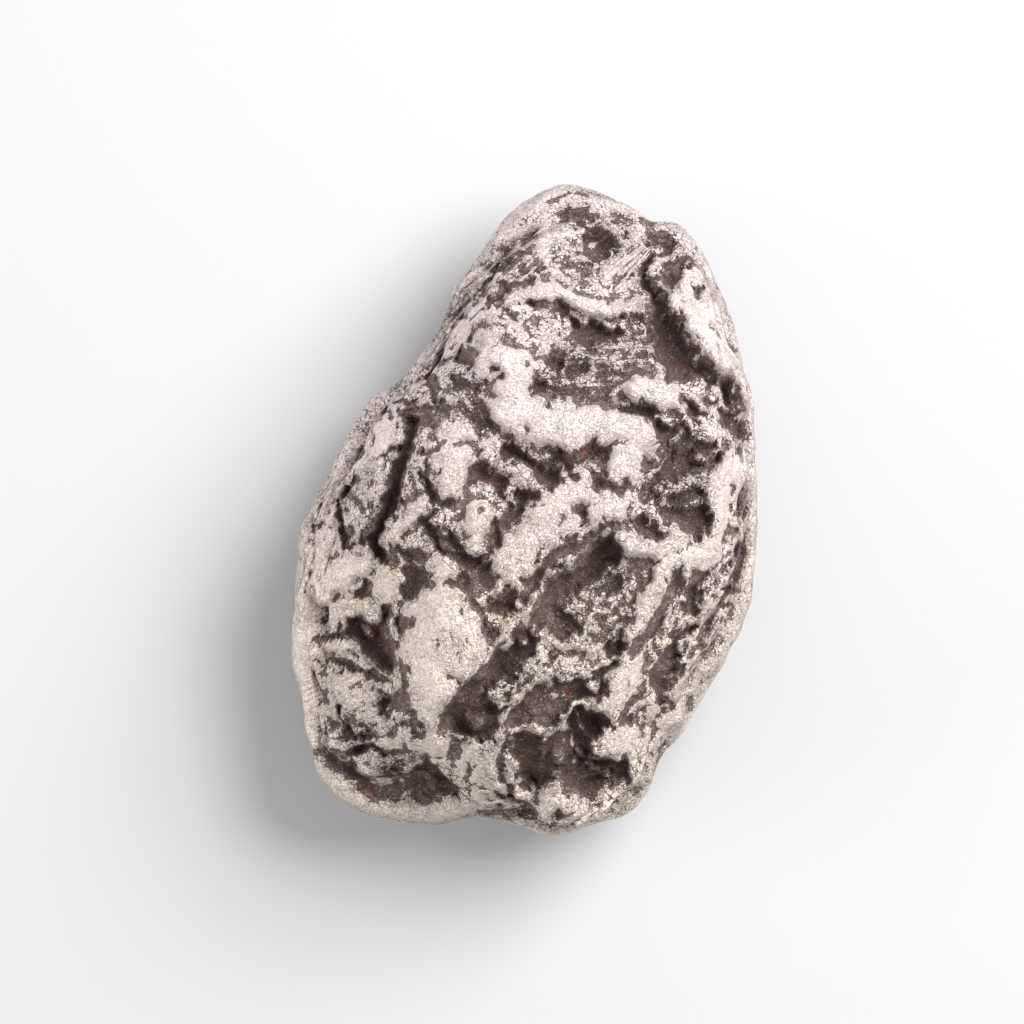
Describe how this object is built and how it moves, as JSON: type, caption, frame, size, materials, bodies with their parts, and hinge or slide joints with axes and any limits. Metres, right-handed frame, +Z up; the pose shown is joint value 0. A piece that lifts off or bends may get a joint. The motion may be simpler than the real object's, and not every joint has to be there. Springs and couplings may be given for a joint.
{
  "type": "meteorite",
  "caption": "Solid iron meteorite with folded ridges, deep dark hollows and worn silvery high spots, lying on its flattest side.",
  "frame": {"origin": "under the middle of the stone, on the face that it rests on", "axes": "+Z up out of the sculpted side, +Y along the stone's length towards its narrow end, +X to the right seen from above"},
  "size_m": [0.0466, 0.0652, 0.0295],
  "materials": {
    "meteoritic_iron": "bare silvery iron with a satin sheen on the ridges, dark brown-grey oxide with a few rust spots in the hollows"
  },
  "bodies": {
    "root": {"meteorite": "meteoritic_iron"}
  },
  "joints": []
}
